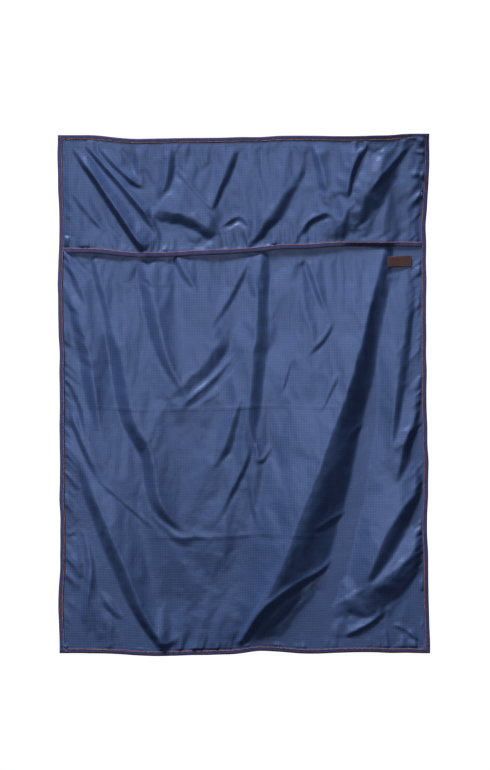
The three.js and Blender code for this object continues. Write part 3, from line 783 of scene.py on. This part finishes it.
def hem_layer(x, z):
    """The hem's tape runs on from the flap's face, and tips inwards where the hem stands forward."""
    down = (-FLAP_DROP + TAPE - z) / TAPE
    return flap_face(x, np.full_like(x, -FLAP_DROP + TAPE))[:, 1] + hem_stand(x) * down


def flap_place(x, z):
    place = flap_face(x, z)
    in_tape = z < -FLAP_DROP + TAPE
    place[in_tape, 1] = hem_layer(x[in_tape], z[in_tape])
    return place


def back_place(x, z):
    place = np.column_stack([x, LAYER + back_height(x, z), z]) + back_settled(x, z)
    place[:, 1] = np.maximum(place[:, 1], LAYER)
    return place


def cloth_panel(name, xs, zs, place, carry):
    """One layer of ripstop over a grid, with its thickness."""
    x, z = (a.ravel() for a in np.meshgrid(xs, zs))
    middle = place(x, z)
    front = carry(middle - (0, CLOTH / 2, 0))
    back = carry(middle + (0, CLOTH / 2, 0))
    flat = np.column_stack([x, z, np.zeros_like(x)])
    return make_object(name, np.vstack([front, back]), sheet_faces(len(xs), len(zs)), RIPSTOP,
                       {"cloth": np.vstack([flat, flat])})


FINE = 2.6 * MM  # the grid's steps within BORDER of a panel's edges, and those further in
COARSE = 3.6 * MM
FLAP_COARSE = 3.4 * MM
BACK_COARSE = 6 * MM
BORDER = 30 * MM
panel_xs = spread(-CUT_HALF, CUT_HALF, FINE, COARSE, BORDER)
front_zs = spread(FRONT_LOW[1], FRONT_HIGH[1], FINE, COARSE, BORDER)
flap_zs = spread(FLAP_LOW[1], FLAP_HIGH[1], FINE, FLAP_COARSE, 2 * BORDER)
back_xs = spread(-CUT_HALF, CUT_HALF, FINE, BACK_COARSE, BORDER)
back_zs = spread(BACK_LOW[1], BACK_HIGH[1], FINE, BACK_COARSE, BORDER)
front_panel = cloth_panel("front_cloth", panel_xs, front_zs, front_place, drape)
flap_panel = cloth_panel("flap_cloth", panel_xs, flap_zs, flap_place, hang_hem)
back_panel = cloth_panel("back_cloth", back_xs, back_zs, back_place, drape)


# ---------------- tapes
TAPE_BOW = 0.25 * MM  # how far the tape's faces bow outwards


def tape_section(thick):
    """A folded tape's closed cross-section, as (distance from the fold towards the cloth, y)."""
    outer = thick / 2
    inner = outer - TAPE_THICK
    turn = np.linspace(-math.pi / 2, math.pi / 2, 9)
    legs = np.linspace(TAPE, outer, 6)
    bowed = [outer + TAPE_BOW * math.sin(math.pi * (d - outer) / (TAPE - outer)) for d in legs]
    profile = [(d, -y) for d, y in zip(legs, bowed)]
    profile += [(outer - outer * math.cos(a), outer * math.sin(a)) for a in turn[1:-1]]
    profile += [(d, y) for d, y in zip(legs[::-1], bowed[::-1])]
    inside = [(d, inner) for d in legs[[0, 3, 5]]]
    inside += [(outer - inner * math.cos(a), inner * math.sin(a)) for a in turn[::-1][1:-1]]
    inside += [(d, -inner) for d in legs[[5, 3, 0]]]
    return np.array(profile + inside)


def tape(name, nodes, stations, fold_at, inward, thick, direction, layer, carry):
    """A folded tape along a seam. stations are places along it, fold_at is its outer edge's place across it,
    and layer(x, z) gives the y of the seam's middle."""
    section = tape_section(thick)
    rings = []
    marks = []
    swells = 1 + 0.06 * ripple(stations, 0.03, len(name))
    for s, swell in zip(stations, swells):
        across = fold_at + inward * section[:, 0]
        along = np.full(len(section), s)
        x, z = (along, across) if direction == "across" else (across, along)
        middle = layer(x, z)
        rings.append(np.column_stack([x, middle + section[:, 1] * swell, z]))
        marks.append(np.column_stack([along, section[:, 0], section[:, 1]]))
    size = len(section)
    points = carry(np.vstack(rings))
    faces = []
    for r in range(len(stations) - 1):
        for k in range(size):
            a, b = r * size + k, r * size + (k + 1) % size
            faces.append((a, b, b + size, a + size))
    faces.append(tuple(range(size))[::-1])
    faces.append(tuple((len(stations) - 1) * size + k for k in range(size)))
    if (direction == "across") == (inward > 0):
        faces = [f[::-1] for f in faces]
    made = make_object(name, points, faces, GROSGRAIN, {"tape": np.vstack(marks)})
    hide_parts(*nodes)
    return made


def flat_layer(x, z):
    return np.zeros_like(x)


def mouth_layer(x, z):
    return -front_height(x, np.full_like(x, -MOUTH_DROP - TAPE))


STEP = 3 * MM
across_stations = np.arange(-HALF, HALF + STEP / 2, STEP)
down_stations = np.arange(-HEIGHT + TAPE * 0.35, -TAPE * 0.35, STEP)
free_stations = np.linspace(-FIELD_HALF - 1 * MM, FIELD_HALF + 1 * MM, len(across_stations))
SEAMS = {
    "top": (across_stations, 0.0, -1, SEAM_THICK, "across", flat_layer, drape),
    "bottom": (across_stations, -HEIGHT, 1, SEAM_THICK, "across", flat_layer, drape),
    "left": (down_stations, -HALF, 1, SEAM_THICK * 0.93, "down", flat_layer, drape),
    "right": (down_stations, HALF, -1, SEAM_THICK * 0.93, "down", flat_layer, drape),
    "mouth": (free_stations, -MOUTH_DROP, -1, FREE_THICK, "across", mouth_layer, drape),
    "hem": (free_stations, -FLAP_DROP, 1, FREE_THICK, "across", hem_layer, hang_hem),
}
tapes = {
    edge: tape(f"{edge}_tape", [f"{edge}_binding"], *seam) for edge, seam in SEAMS.items()
}


# ---------------- stitches
STITCH_PITCH = 3.1 * MM
STITCH_LENGTH = 2.5 * MM
STITCH_RADIUS = 0.46 * MM
STITCH_INSET = 1.5 * MM  # from the tape's inner edge
STITCH_LIFT = 0.18 * MM  # off the seam's face, so that the bowed tape doesn't bury it
STITCH_SIDES = 6


def stitch_shape():
    """One stitch that dives into the cloth at both ends, as (along, across, out) points and its faces."""
    places = np.array([-0.5, -0.36, 0.0, 0.36, 0.5]) * STITCH_LENGTH
    sizes = np.array([0.55, 0.95, 1.0, 0.95, 0.55]) * STITCH_RADIUS
    heights = np.array([-0.5, 0.1, 0.35, 0.1, -0.5]) * STITCH_RADIUS
    turn = np.arange(STITCH_SIDES) * 2 * math.pi / STITCH_SIDES
    points = [(p, r * math.cos(a), h + r * math.sin(a))
              for p, r, h in zip(places, sizes, heights) for a in turn]
    faces = []
    for ring in range(len(places) - 1):
        for k in range(STITCH_SIDES):
            a, b = ring * STITCH_SIDES + k, ring * STITCH_SIDES + (k + 1) % STITCH_SIDES
            faces.append((a, a + STITCH_SIDES, b + STITCH_SIDES, b))
    faces.append(tuple(range(STITCH_SIDES)))
    faces.append(tuple(range(len(points) - 1, len(points) - 1 - STITCH_SIDES, -1)))
    return np.array(points), faces


def stitch_row(name, node, starts, ends, out, material=SEAM_THREAD):
    """Stitches in a row. starts and ends are their two ends, and out the way each stands off its tape."""
    shape, shape_faces = stitch_shape()
    points, faces = [], []
    for start, end, normal in zip(starts, ends, out):
        along = end - start
        along = along / np.linalg.norm(along)
        across = np.cross(along, normal)
        base = len(points) * len(shape)
        axes = np.array([along, across, normal])
        points.append((start + end) / 2 + shape @ axes)
        faces += [tuple(base + k for k in face) for face in shape_faces]
    made = make_object(name, np.vstack(points), faces, material)
    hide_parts(node)
    return made


def seam_stitches(edge, side, kind):
    """side is -1 for the needle thread in front and 1 for the bobbin thread behind."""
    stations, fold_at, inward, thick, direction, layer, carry = SEAMS[edge]
    margin = 3 * MM if edge in ("mouth", "hem") else 1 * MM
    if direction == "across":
        low, high = max(stations[0], -FIELD_HALF) + margin, min(stations[-1], FIELD_HALF) - margin
    else:
        low, high = -HEIGHT + TAPE - STITCH_INSET, -TAPE + STITCH_INSET
    centres = np.arange(low, high, STITCH_PITCH)
    wander = 0.25 * MM * ripple(centres, 0.02, 90 + len(edge))

    def on_tape(places):
        across = fold_at + inward * (TAPE - STITCH_INSET) + wander
        x, z = (places, across) if direction == "across" else (across, places)
        return carry(np.column_stack([x, layer(x, z) + side * (thick / 2 + STITCH_LIFT), z]))

    starts = on_tape(centres - STITCH_LENGTH / 2)
    ends = on_tape(centres + STITCH_LENGTH / 2)
    out = np.tile((0.0, float(side), 0.0), (len(centres), 1))
    return stitch_row(f"{edge}_{kind}_stitches", f"{edge}_{kind}_thread", starts, ends, out)


stitches = {}
for edge in SEAMS:
    stitches[edge] = [seam_stitches(edge, -1, "needle"), seam_stitches(edge, 1, "bobbin")]


# ---------------- leather label
LABEL_THICK = 1.1 * MM
LABEL_CORNER = 1.6 * MM
LABEL_TILT = 0.006  # how far it is sheared sideways, as a share of its height
LABEL_STITCH_PITCH = 2.4 * MM
LABEL_STITCH_LENGTH = 1.8 * MM
LABEL_STITCH_INSET = 1.5 * MM
LINE_INSET = 2.6 * MM  # the pressed line inside the label's edge
LINE_DEPTH = 0.22 * MM
LINE_WIDTH = 0.45 * MM


def label():
    """A thin patch with rounded corners and a pressed border line, its left side clear of the main fold."""
    low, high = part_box("leather_label")
    middle_x, middle_z = (low.x + high.x) / 2, (low.z + high.z) / 2
    half_w, half_h = (high.x - low.x) / 2, (high.z - low.z) / 2
    us = np.linspace(-1, 1, 95)
    vs = np.linspace(-1, 1, 43)
    u, v = (a.ravel() for a in np.meshgrid(us, vs))
    dx, dz = u * half_w, v * half_h
    # the grid's corners are pulled in to round ones
    over_x = np.clip(np.abs(dx) - (half_w - LABEL_CORNER), 0, None)
    over_z = np.clip(np.abs(dz) - (half_h - LABEL_CORNER), 0, None)
    over = np.hypot(over_x, over_z)
    pull = np.where(over > 0, np.maximum(over_x, over_z) / np.where(over > 0, over, 1), 1.0)
    dx = np.sign(dx) * (np.abs(dx) - over_x * (1 - pull))
    dz = np.sign(dz) * (np.abs(dz) - over_z * (1 - pull))
    inside = np.minimum(half_w - np.abs(dx), half_h - np.abs(dz))
    border = LINE_DEPTH * np.exp(-(((inside - LINE_INSET) / LINE_WIDTH) ** 2))
    round_over = 0.5 * MM * (1 - smooth(inside / (1.1 * MM)))
    x, z = middle_x + dx, middle_z + dz
    tilt_x = x + LABEL_TILT * (z - middle_z)
    steady = front_height(tilt_x, z)
    lean = np.polyfit(dx, steady, 1)
    flat = np.polyval(lean, dx)
    flat += max(0.0, float((steady - flat).max())) + 0.4 * MM
    face = flat + LABEL_THICK - border - round_over
    front = drape(np.column_stack([tilt_x, -face, z]))
    back = drape(np.column_stack([tilt_x, -flat, z]))
    marks = np.column_stack([dx, dz, inside])
    patch = make_object("label_patch", np.vstack([front, back]), sheet_faces(len(us), len(vs)), LEATHER,
                        {"patch": np.vstack([marks, marks])})
    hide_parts("leather_label")
    rows = []
    for end, sign in (("left", -1), ("right", 1)):
        centres = np.arange(-half_h + 3.2 * MM, half_h - 3.0 * MM, LABEL_STITCH_PITCH)
        offset = sign * (half_w - LABEL_STITCH_INSET)
        lift = np.polyval(lean, offset) + float(flat[0] - np.polyval(lean, dx[0])) + LABEL_THICK

        def at(places):
            px = middle_x + offset + LABEL_TILT * places
            return drape(np.column_stack([px, np.full_like(places, -lift), middle_z + places]))

        starts = at(centres - LABEL_STITCH_LENGTH / 2)
        ends = at(centres + LABEL_STITCH_LENGTH / 2)
        out = np.tile((0.0, -1.0, 0.0), (len(centres), 1))
        rows.append(stitch_row(f"label_stitches_{end}", f"label_thread_{end}", starts, ends, out,
                               LABEL_THREAD))
    return patch, rows


label_patch, label_rows = label()

# ---------------- what moves with what
FLAP_PIECES = [flap_panel, tapes["hem"], *stitches["hem"]]


def open_like_an_arch(piece):
    """The flap's sides stay sewn in; here the piece's placement is only baked into its mesh."""
    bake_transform(piece)


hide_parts("front_panel")
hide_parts("back_panel")
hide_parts("flap_panel", "flap_seam_allowance")
for piece in FLAP_PIECES:
    open_like_an_arch(piece)
still = [front_panel, back_panel, label_patch, *label_rows]
still += [tapes[edge] for edge in tapes if edge != "hem"]
still += [row for edge in stitches if edge != "hem" for row in stitches[edge]]
for piece in still:
    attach(piece, "bag")

# ---------------- studio and camera
CENTRE_X = 0.0033
CENTRE_Z = -0.479
CAMERA_DISTANCE = 3.6
FRAME_HEIGHT = 1.494  # what the upright picture takes in at the bag
FLOOR_DROP = 0.06  # from the bag's lower edge to the floor
FLOOR_REACH = 14.0
WHITE = 1.05  # how brightly the floor and the air behind the bag show


def white_stage(name, points, faces):
    """A plain pale surface that only the camera sees, so that it throws no light on the bag."""
    mesh = bpy.data.meshes.new(name)
    mesh.from_pydata(points, [], faces)
    made = add_object(name, mesh)
    material = bpy.data.materials.new(name)
    material.use_nodes = True
    nodes = material.node_tree.nodes
    nodes.remove(nodes["Principled BSDF"])
    glow = nodes.new("ShaderNodeEmission")
    glow.inputs["Color"].default_value = (1, 1, 1, 1)
    glow.inputs["Strength"].default_value = WHITE
    material.node_tree.links.new(glow.outputs[0], nodes["Material Output"].inputs["Surface"])
    mesh.materials.append(material)
    for ray in ("diffuse", "glossy", "transmission", "volume_scatter", "shadow"):
        setattr(made, f"visible_{ray}", False)
    return made


floor_corners = ((-1, -1), (1, -1), (1, 1), (-1, 1))
white_stage("studio_floor",
            [(x * FLOOR_REACH, y * FLOOR_REACH, -HEIGHT - FLOOR_DROP) for x, y in floor_corners],
            [(0, 1, 2, 3)])


def area_light(name, place, target, size, power, colour=(1, 1, 1)):
    light = bpy.data.lights.new(name, "AREA")
    light.shape = "RECTANGLE"
    light.size, light.size_y = size
    light.energy = power
    light.color = colour
    made = add_object(name, light)
    made.location = place
    direction = np.array(target) - np.array(place)
    made.rotation_mode = "QUATERNION"
    made.rotation_quaternion = Vector(direction).to_track_quat("-Z", "Y")
    return made


# two lamps before the bag, and two more behind it: (side, the key light's name and power, the sheen's name)
LAMPS = [(-1, "key_light", 790, "front_sheen"), (1, "back_key", 760, "back_sheen")]
for side, key, key_power, sheen in LAMPS:
    area_light(key, (side * 1.7, side * 2.2, 4.6), (0, 0, -0.45), (1.6, 1.2), key_power)
    area_light(sheen, (side * 0.15, side * 3.3, -0.2), (0, 0, -0.5), (0.6, 0.6), 30, (0.8, 0.88, 1.0))

# the air lights the bag faintly, and shows white to the camera
world = bpy.data.worlds.new("studio_air")
bpy.context.scene.world = world
world.use_nodes = True
air_nodes = world.node_tree.nodes
join = world.node_tree.links.new
background = air_nodes["Background"]
background.inputs["Color"].default_value = (0.85, 0.92, 1.0, 1)
background.inputs["Strength"].default_value = 0.035
mix = air_nodes.new("ShaderNodeMixShader")
rays = air_nodes.new("ShaderNodeLightPath")
plain = air_nodes.new("ShaderNodeBackground")
plain.inputs["Color"].default_value = (1, 1, 1, 1)
plain.inputs["Strength"].default_value = WHITE
join(rays.outputs["Is Camera Ray"], mix.inputs["Fac"])
join(background.outputs[0], mix.inputs[1])
join(plain.outputs[0], mix.inputs[2])
join(mix.outputs[0], air_nodes["World Output"].inputs["Surface"])

bpy.context.scene.view_settings.view_transform = "Standard"
bpy.context.scene.view_settings.gamma = 0.9
camera_data = bpy.data.cameras.new("camera")
camera_data.lens = camera_data.sensor_width * CAMERA_DISTANCE / FRAME_HEIGHT
camera = add_object("camera", camera_data)
camera.location = (CENTRE_X, -CAMERA_DISTANCE, CENTRE_Z)
camera.rotation_euler = (math.pi / 2, 0, 0)
bpy.context.scene.camera = camera
